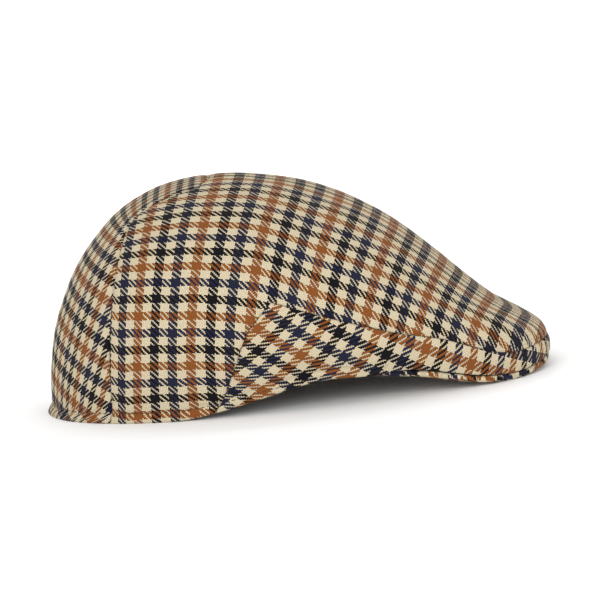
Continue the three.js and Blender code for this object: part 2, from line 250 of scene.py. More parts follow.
def edge_height(angle):
    """Height of the lower edge, eased between the rows of its table."""
    degrees = np.clip(np.degrees(np.abs(angle)), 0, 180)
    x, y = EDGE[:, 0], EDGE[:, 1]
    slope = np.zeros(len(x))
    for k in range(1, len(x) - 1):
        rises = (y[k] - y[k - 1], y[k + 1] - y[k])
        slope[k] = 0 if rises[0] * rises[1] <= 0 else sum(rises) / (x[k + 1] - x[k - 1])
    row = np.clip(np.searchsorted(x, degrees, side="right") - 1, 0, len(x) - 2)
    width = x[row + 1] - x[row]
    t = (degrees - x[row]) / width
    share = (y[row] * (2 * t ** 3 - 3 * t ** 2 + 1) + y[row + 1] * (3 * t ** 2 - 2 * t ** 3)
             + width * (slope[row] * (t ** 3 - 2 * t ** 2 + t) + slope[row + 1] * (t ** 3 - t ** 2)))
    return TEMPLE_RISE * share


def outside(angle, ring):
    """The outside of the cap at an angle round from the front and a ring number."""
    angle, ring = np.broadcast_arrays(np.asarray(angle, float), np.asarray(ring, float))
    row = ring_at(ring)
    front, front_z, back, back_z, side, side_z, fullest, squareness = np.moveaxis(row, -1, 0)
    c, s = np.cos(angle), np.sin(angle)
    power = np.where(c > 0, squareness, BACK_SQUARENESS)
    reach = (np.abs(c) ** power + np.abs(s) ** power) ** (-1 / power)
    ahead = np.where(c > 0, front - fullest, fullest + back)
    height = side_z + (front_z - back_z) / 2 * c + ((front_z + back_z) / 2 - side_z) * c * c
    return np.stack([
        LENGTH / 2 * (fullest + ahead * reach * c) - SET_BACK,
        WIDTH / 2 * side * reach * s,
        HEIGHT * height + edge_height(angle) * smooth(EDGE_FADE, 0, ring),
    ], -1)


def angle_of(spots):
    return np.arctan2(spots[..., 1], spots[..., 0])


def ring_of(spots):
    return TOP_RING * (1 - np.hypot(spots[..., 0], spots[..., 1]))


def on_cap(spots):
    return outside(angle_of(spots), ring_of(spots))


def slopes_at(spots):
    """Both slopes of the outside at spots of the flattened cap, and its outward normal."""
    e = STEP
    r = np.hypot(spots[..., 0], spots[..., 1])
    at = spots * np.minimum(1, (1 - 2 * e) / np.maximum(r, e))[..., None]
    du = (on_cap(at + [e, 0]) - on_cap(at - [e, 0])) / (2 * e)
    dv = (on_cap(at + [0, e]) - on_cap(at - [0, e])) / (2 * e)
    return du, dv, unit(np.cross(du, dv))


def middle_line(start, end):
    """The cap's middle line between two spots of it: their places, points and lengths."""
    u = np.linspace(start, end, 801)
    line = on_cap(np.stack([u, 0 * u], -1))
    return u, line, lengths(line)


def cut(table, steps):
    """A seam table cut into equal steps of its spline."""
    rows = np.vstack([2 * table[0] - table[1], table, 2 * table[-1] - table[-2]])
    at = np.linspace(0, len(table) - 1, steps + 1)
    row = np.minimum(len(table) - 2, np.floor(at).astype(int))
    return between(rows[row], rows[row + 1], rows[row + 2], rows[row + 3], (at - row)[:, None])


def even(table, steps):
    """A seam table cut into steps of equal length on the cap."""
    fine = cut(table, steps * 8)
    length = lengths(on_cap(fine))
    return places(np.linspace(0, length[-1], steps + 1), length, fine)


def mirror(line):
    return (line * [1, -1])[::-1]


def join(*lines):
    return np.vstack([lines[0]] + [line[1:] for line in lines[1:]])


def both_ways(table, steps):
    return even(join(table, mirror(table)), 2 * steps)


def on_hem(start, end, steps):
    return polar(np.linspace(start, end, steps + 1))


def draw_in(outline, distances):
    """Draws a closed outline in over the cap, each stretch by a distance of its own, in mm."""
    du, dv, normal = slopes_at(outline)
    step = np.roll(outline, -1, axis=0) - outline
    ahead = unit(np.cross(du * step[:, :1] + dv * step[:, 1:], normal))
    back_step = np.roll(step, 1, axis=0)
    behind = unit(np.cross(du * back_step[:, :1] + dv * back_step[:, 1:], normal))
    gap_ahead = np.asarray(distances, float)
    gap_behind = np.roll(gap_ahead, 1)
    k = (ahead * behind).sum(-1)
    straight = k > STRAIGHT
    spare = np.where(straight, 1.0, 1 - k * k)
    even_share = (gap_ahead + gap_behind) / 2 / (1 + k)
    share_behind = np.where(straight, even_share, (gap_behind - k * gap_ahead) / spare)
    share_ahead = np.where(straight, even_share, (gap_ahead - k * gap_behind) / spare)
    move = behind * share_behind[:, None] + ahead * share_ahead[:, None]
    uu, uv, vv = (du * du).sum(-1), (du * dv).sum(-1), (dv * dv).sum(-1)
    mu, mv = (move * du).sum(-1), (move * dv).sum(-1)
    area = uu * vv - uv * uv
    return outline + np.stack([(vv * mu - uv * mv) / area, (uu * mv - uv * mu) / area], -1)


def settle(line, corners):
    """Spaces a drawn-in outline evenly between its corners, without what ran past them."""
    closed = np.vstack([line, line[:1]])
    ends = list(corners) + [len(line)]
    settled = []
    for first, last in zip(ends, ends[1:]):
        piece = closed[first:last + 1]
        place = on_cap(piece)
        inner = place[1:-1]
        ahead = np.gradient(inner, axis=0)
        begun = ((inner - place[0]) * ahead).sum(-1) > 0
        unfinished = ((place[-1] - inner) * ahead).sum(-1) > 0
        start = 1 + int(np.argmax(begun))
        stop = len(inner) - int(np.argmax(unfinished[::-1]))
        kept = np.r_[0, np.arange(start, stop + 1), len(piece) - 1]
        length = lengths(place[kept])
        at = np.linspace(0, length[-1], last - first + 1)[:-1]
        settled.append(places(at, length, piece[kept]))
    return np.vstack(settled)


def fill(start, finish, left, right):
    """Fills a four-sided outline with a grid of spots."""
    a = ((left[:, 0] - left[0, 0]) / (left[-1, 0] - left[0, 0]))[:, None, None]
    b = np.linspace(0, 1, len(start))[None, :, None]
    return ((1 - a) * start[None] + a * finish[None] + (1 - b) * left[:, None] + b * right[:, None]
            - (1 - a) * ((1 - b) * start[0] + b * start[-1])
            - a * ((1 - b) * finish[0] + b * finish[-1]))


def ring_above(angle, rise):
    """Ring number at which the outside is this much higher than the lower edge."""
    low, high = np.zeros_like(angle), np.full_like(angle, 2.0)
    edge = outside(angle, 0)[..., 2]
    for _ in range(24):
        middle = (low + high) / 2
        under = outside(angle, middle)[..., 2] - edge < rise
        low, high = np.where(under, middle, low), np.where(under, high, middle)
    return low


# Seams, each cut once and shared by the panels on both sides of it.
back_side = even(BACK_SEAM_SIDE, BACK_SIDE_LOW + BACK_SIDE_HIGH)
back_front = both_ways(BACK_SEAM_FRONT, BACK_FRONT)
band_rear = even(BAND_REAR, BAND_BACK)
band_top_side = even(BAND_TOP_SIDE, BAND_TOP)
band_top_front = both_ways(BAND_TOP_FRONT, BACK_SIDE_HIGH + BACK_FRONT)
back_angle = float(angle_of(BACK_SEAM_SIDE[0]))
rear_angle = float(angle_of(BAND_REAR[0]))
corner_angle = float(angle_of(BAND_TOP_SIDE[0]))


def tree_of(points):
    tree = KDTree(len(points))
    for i, p in enumerate(points):
        tree.insert(p, i)
    tree.balance()
    return tree


def dense(line, count):
    numbers = np.arange(len(line))
    return on_cap(places(np.linspace(0, len(line) - 1, count), numbers, line))


seam_tree = tree_of(np.vstack([
    dense(join(back_side, back_front, mirror(back_side)), 900),
    dense(join(band_rear, band_top_side, band_top_front, mirror(band_top_side), mirror(band_rear)), 900),
]))
rear_tree = tree_of(np.vstack([dense(band_rear, 300), dense(mirror(band_rear), 300)]))
hem_tree = tree_of(outside(np.radians(np.linspace(-180, 180, 1441)), 0))


def distance_to(tree, points):
    return np.array([tree.find(p)[2] for p in points])


def uneven(points, kind):
    """Soft unevenness of a kind, mm."""
    height, size, seed = kind
    shift = Vector((seed, 2 * seed, 0))
    return height * np.array([noise(Vector(p / size) + shift) for p in points])


def hump(distance, middle, width):
    return np.exp(-((distance - middle) / width) ** 2)


def relief(distance, table):
    return sum(height * hump(distance, middle, width) for height, middle, width in table)


def surface_detail(points, spots, ridged):
    """How far the cloth stands off the smooth outside: seams, hem stitching and soft hollows."""
    seam = distance_to(seam_tree, points)
    hem = distance_to(hem_tree, points)
    stitched = smooth(*HEM_STITCHED, np.degrees(np.abs(angle_of(spots))))
    lift = uneven(points, BROAD) + uneven(points, SMALL)
    lift = lift * smooth(0, CALM, seam) * smooth(0, CALM, hem)
    lift = lift + relief(seam, SEAM_RELIEF) + uneven(points, SEAM_PUCKERS) * hump(seam, *SEAM_PUCKERED)
    hem_lift = relief(hem, HEM_RELIEF) + uneven(points, HEM_PUCKERS) * hump(hem, *HEM_PUCKERED)
    lift = lift + stitched * hem_lift
    if ridged:
        lift = lift + relief(distance_to(rear_tree, points), REAR_RIDGES)
    return lift


def roll(distance, thickness):
    """How far a rolled edge draws back from the face, at a distance in from its end."""
    half = thickness / 2
    d = np.clip(distance, 0, half)
    return half - np.sqrt(np.maximum(half ** 2 - (half - d) ** 2, 0))


def side_length(spots, points):
    """Length over the cap from its ridge to each point, signed, left side positive."""
    u, ridge, _ = middle_line(-0.985, 0.985)
    start = np.interp(points[:, 0], ridge[:, 0], u)
    length = np.zeros(len(spots))
    previous = on_cap(np.stack([start, 0 * start], -1))
    for t in np.linspace(0, 1, 25)[1:]:
        here = on_cap(np.stack([start + (spots[:, 0] - start) * t, spots[:, 1] * t], -1))
        length += np.linalg.norm(here - previous, axis=1)
        previous = here
    return length * np.sign(spots[:, 1])


def ridge_length(x):
    """Length along the ridge of the crown from the middle of the cap, forward positive."""
    _, ridge, length = middle_line(-0.985, 0.985)
    length = length - np.interp(0, ridge[:, 0], length)
    ahead = np.maximum(x - ridge[-1, 0], 0)
    behind = np.minimum(x - ridge[0, 0], 0)
    return np.interp(x, ridge[:, 0], length) + ahead + behind


def top_weave(spots, points):
    down = side_length(spots, points)
    bow = smooth(0, STRIPE_BOW_OVER, np.abs(down))
    along = ridge_length(points[:, 0] + STRIPE_BOW * bow)
    far = points[:, 0] / 100
    rows = 1 / REPEAT_DOWN + ROWS_LEAN * far + ROWS_SPREAD * far ** 2
    across = -down * rows - np.interp(points[:, 0], ROW_SHIFT[:, 0], ROW_SHIFT[:, 1])
    return np.stack([STRIPE_START + along / (REPEAT_ALONG * (1 - STRIPES_CLOSE * bow)), across], -1)


def band_weave(spots, points):
    angle = np.radians(np.linspace(0, 180, 721))
    length = lengths(outside(angle, 1.5)[:, :2])
    far = np.interp(np.abs(angle_of(spots)), angle, length)
    side = np.where(points[:, 1] < 0, 1.0, -1.0)
    z = points[:, 2]
    across = (BAND_START[0] + 0.0094 * far - 0.0728 * z
              + 0.000167 * far ** 2 - 0.000209 * far * z + 0.000474 * z ** 2)
    along = (side * (0.130 * far - 0.00018 * far ** 2 + 0.00035 * far * z)
             + 0.008 * z + 0.00035 * z ** 2)
    return np.stack([across, along + BAND_START[1]], -1)


def back_weave(spots, points):
    u, middle, length = middle_line(-0.999, 0.2)
    rising = u < -0.001
    by_height = np.interp(points[:, 2], middle[rising, 2], length[rising])
    # On top, where the cap is level, the nearest place on its middle line counts instead.
    profile = tree_of(middle * [1, 0, 1])
    nearest = length[[profile.find(p * [1, 0, 1])[1] for p in points]]
    on_top = smooth(LEVEL_FROM, LEVEL_FROM + LEVEL_OVER, nearest)
    up = by_height + (nearest - by_height) * on_top
    side = np.abs(points[:, 1])
    rows = (BACK_START[0] + 0.078 * up + 0.00058 * side ** 2
            + 0.00025 * up ** 2 - 0.0000025 * up * side ** 2)
    lines = side * (0.105 - 0.00207 * up + 0.0000152 * up ** 2) + 0.00108 * side ** 2
    return np.stack([rows, BACK_START[1] - np.sign(points[:, 1]) * lines], -1)


def peak_weave(points):
    return np.stack([points[:, 1] / PEAK_REPEAT[0] + PEAK_START, points[:, 0] / PEAK_REPEAT[1]], -1)


def add_piece(name, mesh):
    mesh.polygons.foreach_set("use_smooth", np.ones(len(mesh.polygons), bool))
    piece = bpy.data.objects.new(name, mesh)
    bpy.context.scene.collection.objects.link(piece)
    return piece


def make_mesh(name, points, quads, weave, inner):
    """A mesh in metres from points in mm, with its place in the check and an inside mark."""
    mesh = bpy.data.meshes.new(name)
    mesh.from_pydata((points * 0.001).tolist(), [], quads.tolist())
    mesh.update()
    layer = mesh.uv_layers.new(name="weave")
    corners = np.zeros(len(mesh.loops), np.int32)
    mesh.loops.foreach_get("vertex_index", corners)
    layer.data.foreach_set("uv", weave[corners].astype(np.float32).ravel())
    mark = mesh.attributes.new("inside", "FLOAT", "POINT")
    mark.data.foreach_set("value", inner.astype(np.float32))
    return add_piece(name, mesh)


def numbers_of(shape, first):
    return np.arange(shape[0] * shape[1]).reshape(shape) + first


def cells(numbers):
    low, high = numbers[:-1], numbers[1:]
    return np.stack([low[:, :-1], low[:, 1:], high[:, 1:], high[:, :-1]], -1).reshape(-1, 4)


def facing_up(quads, points):
    """The faces, all turned over if on the whole they run clockwise seen from above."""
    corners = points[quads]
    a, b = corners[:, 2] - corners[:, 0], corners[:, 3] - corners[:, 1]
    return quads if (a[:, 0] * b[:, 1] - a[:, 1] * b[:, 0]).sum() > 0 else quads[:, ::-1]


def two_sided(quads, count):
    """Faces of a wall: the outside, the inside count points on, and the rim between them."""
    edges = {}
    for q in quads.tolist():
        for k in range(4):
            edges[(q[k], q[(k + 1) % 4])] = True
    rim = [(b, a, a + count, b + count) for (a, b) in edges if (b, a) not in edges]
    return np.vstack([quads, quads[:, ::-1] + count, np.array(rim)])


def lay_out(outline, corners, seam, inside_of, edge_rows):
    """A panel's spots, how far in from its edge they lie, and the faces between them."""
    inset = [np.where(seam, row[0], row[1]) for row in edge_rows]
    rows = [settle(draw_in(outline, row + SEAM_CLEAR * seam), corners) for row in inset]
    grids = inside_of(rows[-1])
    spots = np.vstack(rows + [grid.reshape(-1, 2) for grid in grids])
    far = np.concatenate(inset + [np.full(grid[..., 0].size, FAR_IN) for grid in grids])
    count = len(outline)
    line = np.r_[np.arange(count), 0]
    blocks = []
    for k in range(len(rows) - 1):
        blocks.append(cells(np.stack([line + k * count, line + (k + 1) * count])))
    first = count * len(rows)
    for grid in grids:
        blocks.append(cells(numbers_of(grid.shape[:2], first)))
        first += grid[..., 0].size

    # The grids share their edges, so spots that fall together become one.
    keys = np.round(spots * 1e6).astype(np.int64)
    _, keep, where = np.unique(keys, axis=0, return_index=True, return_inverse=True)
    where = where.ravel()
    spots, far = spots[keep], far[keep]
    quads = np.vstack([facing_up(where[block], spots) for block in blocks])
    whole = np.array([len(set(q)) == 4 for q in quads.tolist()])
    return spots, far, quads[whole]


def cloth(name, outline, corners, seam, inside_of, weave_of, edge_rows=EDGE_ROWS, ridged=False):
    """A panel of cloth with rolled edges.

    outline runs clockwise seen from outside and turns at corners; seam is 1 for each of its
    steps along a seam and 0 along the hem; inside_of fills an outline with grids.
    """
    spots, far, quads = lay_out(outline, corners, seam, inside_of, edge_rows)
    face = on_cap(spots)
    normal = slopes_at(spots)[2]
    angle, ring = angle_of(spots), ring_of(spots)
    degrees = np.degrees(np.abs(angle))
    wall = WALL + HEM_FOLD * smooth(*HEM_SIDES, degrees) * smooth(*HEM_THINS, ring)
    inward = -normal
    inward[:, 2] *= 1 - smooth(*LEVEL_RINGS, ring)
    inward = unit(inward)
    drawn = roll(far, WALL)
    lift = surface_detail(face, spots, ridged)
    outer = face + normal * lift[:, None] + inward * drawn[:, None]
    inner = face + inward * (wall - drawn * wall / WALL)[:, None]
    from_seam = distance_to(seam_tree, face)
    allowance = ALLOWANCE_THICK * smooth(*ALLOWANCE_CREASE, from_seam)
    allowance *= smooth(ALLOWANCE + ALLOWANCE_EDGE, ALLOWANCE - ALLOWANCE_EDGE, from_seam)
    soft = uneven(face, INSIDE_WAVES) * smooth(1, 5, far)
    inner = inner + normal * (soft - allowance)[:, None]
    lowest = outside(angle, 0)[:, 2]
    for side in (outer, inner):
        side[:, 2] = np.maximum(side[:, 2], lowest)

    # The hem is turned up inside: there the check runs on round the edge and back up.
    weave = weave_of(spots, face)
    turned = (ring < HEM_TOP) & (degrees > HEM_FROM)
    past_edge = polar(angle, 1 + (ring + HEM_ROUND) / TOP_RING)
    inner_weave = np.where(turned[:, None], weave_of(past_edge, on_cap(past_edge)), weave)
    mark = np.r_[np.zeros(len(spots)), np.where(turned, 0.0, 1.0)]
    points, weaves = np.vstack([outer, inner]), np.vstack([weave, inner_weave])
    return make_mesh(name, points, two_sided(quads, len(spots)), weaves, mark)


def top_panel():
    """From the back seam over the crown, down to the hem behind the temples and to the band."""
    left = join(on_hem(back_angle, rear_angle, REAR_HEM), band_rear, band_top_side)
    start = join(back_side, back_front, mirror(back_side))
    outline = join(left, band_top_front, mirror(left), start[::-1])[:-1]
    side, end = len(left) - 1, len(band_top_front) - 1
    corner = REAR_HEM + BAND_BACK
    corners = [0, REAR_HEM, corner]
    corners += [2 * side + end - k for k in reversed(corners)]
    seam = np.ones(len(outline))
    seam[:REAR_HEM] = 0
    seam[2 * side + end - REAR_HEM:2 * side + end] = 0

    def inside_of(drawn):
        lefts = drawn[:side + 1]
        finish = drawn[side:side + end + 1]
        rights = drawn[side + end:2 * side + end + 1][::-1]
        starts = np.vstack([drawn[2 * side + end:], drawn[:1]])[::-1]
        low = BACK_SIDE_LOW
        back_left = starts[:low + 1]
        back_right = starts[::-1][:low + 1]

        def fold(back, front):
            middle = (back + front) * FOLD_REACH
            return even(np.array([back, middle, front]), REAR_HEM)

        fold_left = fold(back_left[-1], lefts[corner])
        fold_right = fold(back_right[-1], rights[corner])
        return [
            fill(starts[low:len(starts) - low], finish,
                 join(fold_left, lefts[corner:]), join(fold_right, rights[corner:])),
            fill(lefts[:REAR_HEM + 1], fold_left, back_left, lefts[REAR_HEM:corner + 1]),
            fill(rights[:REAR_HEM + 1], fold_right, back_right, rights[REAR_HEM:corner + 1]),
        ]

    return cloth("top_panel_cloth", outline, corners, seam, inside_of, top_weave, ridged=True)


def simple_panel(name, start, finish, left, hem, weave_of, edge_rows=EDGE_ROWS):
    """A panel filled by one grid. hem says which of its sides lies on the lower edge."""
    side, end = len(left) - 1, len(finish) - 1
    outline = join(left, finish, mirror(left), start[::-1])[:-1]
    seam = np.ones(len(outline))
    if hem == "finish":
        seam[side:side + end] = 0
    if hem == "start":
        seam[2 * side + end:] = 0

    def inside_of(drawn):
        return [fill(
            np.vstack([drawn[2 * side + end:], drawn[:1]])[::-1],
            drawn[side:side + end + 1],
            drawn[:side + 1],
            drawn[side + end:2 * side + end + 1][::-1],
        )]

    corners = [0, side, side + end, 2 * side + end]
    return cloth(name, outline, corners, seam, inside_of, weave_of, edge_rows)


def back_panel():
    start = on_hem(back_angle, 2 * math.pi - back_angle, 2 * BACK_FRONT)
    return simple_panel("back_panel_cloth", start, back_front, back_side, "start", back_weave)


def rim_shown(degrees):
    return smooth(RIM_HIDDEN[1], RIM_HIDDEN[0], degrees)


def front_band():
    start = join(band_top_side, band_top_front, mirror(band_top_side))
    angle = angle_of(start)
    spread = smooth(math.radians(BAND_SLANT_FROM), corner_angle, np.abs(angle))
    angle = angle + np.sign(angle) * spread * (rear_angle - corner_angle)
    above_rim = (RIM + RIM_PUFF + SEAM_GAP) * rim_shown(np.degrees(np.abs(angle)))
    finish = polar(angle, 1 - ring_above(angle, above_rim) / TOP_RING)
    return simple_panel("front_band_cloth", start, finish, band_rear[::-1], "finish", band_weave,
                        EDGE_ROWS[:ROLLED])


def rim_at(angle, clear):
    """The peak's rim at angles round from the front, and the level way in from there."""
    inward = -slopes_at(polar(angle))[2]
    inward[..., 2] = 0
    inward = unit(inward)
    inside = smooth(*np.radians(RIM_INSIDE), np.abs(angle))
    return outside(angle, 0) + inward * (clear * inside)[..., None], inward


def peak_lines(way):
    """Lines of the peak's lower side from its rim to the head opening, and the way in."""
    clear = WALL + SEAM_GAP
    wing = math.radians(WING_END)
    tip = rim_at(np.array([wing]), clear)[0][0]
    front = LENGTH / 2 - PEAK_LENGTH - SET_BACK
    centre = front - OPENING_LENGTH / 2
    turn = math.acos((tip[0] - centre) / (OPENING_LENGTH / 2))
    aside = (tip[1] - WING_TIP) / math.sin(turn)
    rim, inward = rim_at(wing * way, clear)
    ledge = rim + inward * clear
    inner = np.stack([
        centre + OPENING_LENGTH / 2 * np.cos(turn * way),
        aside * np.sin(turn * way),
        tip[2] + (PEAK_ARCH - tip[2]) * np.cos(math.pi / 2 * way) ** 2,
    ], -1)
    lines = [rim + inward * d for d in PEAK_ROLL]
    for t in np.linspace(0, 1, PEAK_ROWS):
        line = ledge + (inner - ledge) * t
        line[:, 2] = ledge[:, 2] + (inner[:, 2] - ledge[:, 2]) * smooth(0, 1, t)
        lines.append(line)
    back = unit(inner - ledge)
    lines[-1:] = [inner - back * d for d in reversed(PEAK_ROLL[:-1])]
    return rim, inner, inward, np.stack(lines, 0)


def peak_board():
    """The covered board, from its rim on the lower edge in to the head opening."""
    way = np.linspace(1, -1, PEAK_AROUND + 1)
    rim, inner, inward, low = peak_lines(way)
    from_rim = np.linalg.norm(low - rim[None], axis=-1)
    far = np.minimum(from_rim, np.linalg.norm(low - inner[None], axis=-1))
    from_end = np.minimum(np.arange(PEAK_AROUND + 1), np.arange(PEAK_AROUND + 1)[::-1])
    far = np.minimum(far, WING_ROUND[0] + WING_ROUND[1] * from_end[None])
    thick = RIM + RIM_PUFF * smooth(*PUFF_ENDS, from_rim) * rim_shown(WING_END * np.abs(way))
    drawn = roll(far, RIM) * thick / RIM
    flat = low.reshape(-1, 3)
    waves = uneven(flat, PEAK_WAVES).reshape(far.shape) * smooth(1, 6, far)
    up = np.array([0.0, 0.0, 1.0])
    lower = low + up * np.maximum(drawn + waves, 0)[..., None]
    upper = low + up * (thick - drawn + waves)[..., None]
    faces = two_sided(facing_up(cells(numbers_of(far.shape, 0)), flat), len(flat))
    # The cover lies flat underneath and is pulled round the rim, so there it runs on outward.
    round_low = RIM / 2 * np.arccos(np.clip(1 - drawn / (RIM / 2), -1, 1))
    sign = np.where(np.arange(len(low)) < len(low) / 2, 1.0, -1.0)[:, None, None]
    outward = -sign * inward[None]
    below = (low + outward * round_low[..., None]).reshape(-1, 3)
    above = (low + outward * (RIM * math.pi / 2 - round_low)[..., None]).reshape(-1, 3)
    points = np.vstack([upper.reshape(-1, 3), lower.reshape(-1, 3)])
    weave = np.vstack([peak_weave(above), peak_weave(below)])
    return make_mesh("peak_cloth", points, faces, weave, np.zeros(2 * len(flat)))


def stitch_rings(path, up, wave):
    """One stitch along a path: rings of points round it, thin and drawn in at both ends."""
    share = np.linspace(-1, 1, STITCH_STEPS + 1)
    bulge = 1 - np.abs(share) ** 3
    thick = STITCH_THICK / 2 * (STITCH_THIN + (1 - STITCH_THIN) * bulge)
    across = np.cross(unit(np.gradient(path, axis=0)), up)
    middle = path + up * (STITCH_RISE * bulge - STITCH_SUNK)[:, None]
    middle = middle + across * (STITCH_STRAY[1] * wave * share)[:, None]
    turn = np.linspace(0, 2 * math.pi, STITCH_SIDES + 1)[:-1, None]
    rings = []
    for k in range(len(share)):
        rings.append(middle[k] + thick[k] * (np.cos(turn) * up[k] + np.sin(turn) * across[k]))
    return np.vstack(rings)


def stitch_faces(base):
    """Faces of the stitch whose points begin at a number."""
    faces = []
    for k in range(STITCH_STEPS):
        for j in range(STITCH_SIDES):
            a = base + STITCH_SIDES * k + j
            b = base + STITCH_SIDES * k + (j + 1) % STITCH_SIDES
            faces.append((a, b, b + STITCH_SIDES, a + STITCH_SIDES))
    top = base + STITCH_SIDES * STITCH_STEPS
    for end in STITCH_ENDS:
        faces.append(tuple(base + j for j in reversed(end)))
        faces.append(tuple(top + j for j in end))
    return faces


def hem_stitches():
    """The hem's row of stitches, outside and inside, round the back from temple to temple."""
    start = math.radians(STITCHES_FROM)
    angle = np.linspace(start, 2 * math.pi - start, 1601)
    spots = polar(angle, 1 - ring_above(angle, STITCH_LINE - STITCH_LEAN) / TOP_RING)
    face = on_cap(spots)
    normal = slopes_at(spots)[2]
    length = lengths(face)
    wall = WALL + HEM_FOLD * smooth(*HEM_SIDES, np.degrees(np.abs(angle_of(spots))))
    outer = face + normal * surface_detail(face, spots, False)[:, None]
    inner = face - normal * wall[:, None]
    rings, faces = [], []
    share = np.linspace(0, 1, STITCH_STEPS + 1)
    for line, away, first in ((outer, normal, 0.0), (inner, -normal, STITCH_PITCH / 2)):
        for begin in np.arange(STITCHES_START + first, length[-1] - STITCH_PITCH, STITCH_PITCH):
            wave = noise(Vector((begin, 3.0 * first, 0.5)))
            at = begin + STITCH_STRAY[0] * wave + share * STITCH_LONG
            faces += stitch_faces(len(rings) * len(share) * STITCH_SIDES)
            rings.append(stitch_rings(places(at, length, line), unit(places(at, length, away)), wave))
    mesh = bpy.data.meshes.new("hem_stitches")
    mesh.from_pydata((np.vstack(rings) * 0.001).tolist(), [], faces)
    return add_piece("hem_stitches", mesh)


class Nodes:
    """Short hand for a material's node tree."""

    def __init__(self, material):
        material.use_nodes = True
        self.tree = material.node_tree
        self.tree.nodes.clear()

    def add(self, kind, **settings):
        node = self.tree.nodes.new(kind)
        for key, value in settings.items():
            setattr(node, key, value)
        return node

    def put(self, value, socket):
        if isinstance(value, (int, float, tuple)):
            socket.default_value = value
        else:
            self.tree.links.new(value, socket)

    def math(self, operation, a, b=None, c=None):
        node = self.add("ShaderNodeMath", operation=operation)
        for value, socket in zip((a, b, c), node.inputs):
            if value is not None:
                self.put(value, socket)
        return node.outputs[0]

    def mix(self, share, a, b, blend_type="MIX"):
        node = self.add("ShaderNodeMix", data_type="RGBA", blend_type=blend_type)
        self.put(share, node.inputs["Factor"])
        self.put(a, node.inputs[6])
        self.put(b, node.inputs[7])
        return node.outputs[2]

    def noise(self, vector, scale, detail, roughness=0.5):
        node = self.add("ShaderNodeTexNoise")
        self.put(vector, node.inputs["Vector"])
        node.inputs["Scale"].default_value = scale
        node.inputs["Detail"].default_value = detail
        node.inputs["Roughness"].default_value = roughness
        return node

    def split(self, colour):
        node = self.add("ShaderNodeSeparateColor")
        self.put(colour, node.inputs[0])
        return node.outputs

    def finish(self, colour, roughness):
        """The surface itself, joined to the output."""
        shader = self.add("ShaderNodeBsdfPrincipled")
        self.put(colour, shader.inputs["Base Color"])
        shader.inputs["Roughness"].default_value = roughness
        out = self.add("ShaderNodeOutputMaterial")
        self.put(shader.outputs[0], out.inputs["Surface"])
        return shader


def linear(r, g, b):
    """A colour given as it looks on screen, from 0 to 255."""
    def one(value):
        value /= 255
        return value / 12.92 if value <= 0.04045 else ((value + 0.055) / 1.055) ** 2.4
    return (one(r), one(g), one(b), 1.0)


BLACK = linear(10, 10, 18)
SLATE = linear(30, 31, 46)
NAVY = linear(27, 32, 58)
BROWN = linear(131, 76, 34)
OVER_CREAM = linear(206, 190, 155)
ALONG_CREAM = linear(199, 187, 163)
NAP = linear(130, 112, 92)
WRONG_SIDE = linear(120, 104, 88)


def thread_numbers(n, uv):
    """Place in the weave both ways, counted in threads that wander and fray a little."""
    wander, fray = 0.05, 0.035
    split = n.add("ShaderNodeSeparateXYZ")
    n.put(uv, split.inputs[0])
    soft = n.split(n.noise(uv, scale=1.6, detail=3.0, roughness=0.6).outputs["Color"])
    crisp = n.split(n.noise(uv, scale=26.0, detail=2.0, roughness=0.6).outputs["Color"])
    threads = []
    for k in (0, 1):
        moved = n.math("MULTIPLY_ADD", n.math("SUBTRACT", soft[k], 0.5), wander, split.outputs[k])
        moved = n.math("MULTIPLY_ADD", n.math("SUBTRACT", crisp[k], 0.5), fray, moved)
        threads.append(n.math("MULTIPLY", n.math("ADD", moved, 0.25), float(THREADS)))
    return threads


def coloured(n, index):
    """1 where a thread is one of its repeat's coloured half."""
    place = n.math("FLOORED_MODULO", index, float(THREADS))
    return n.math("LESS_THAN", place, THREADS / 2 - 0.5)


def yarn(n, index, tones, cream):
    """A thread's colour: each coloured stripe takes the next of three tones."""
    which = n.math("FLOORED_MODULO", n.math("FLOOR", n.math("DIVIDE", index, float(THREADS))), 3.0)
    colour = n.mix(n.math("GREATER_THAN", which, 0.5), tones[0], tones[1])
    colour = n.mix(n.math("GREATER_THAN", which, 1.5), colour, tones[2])
    return n.mix(coloured(n, index), cream, colour)


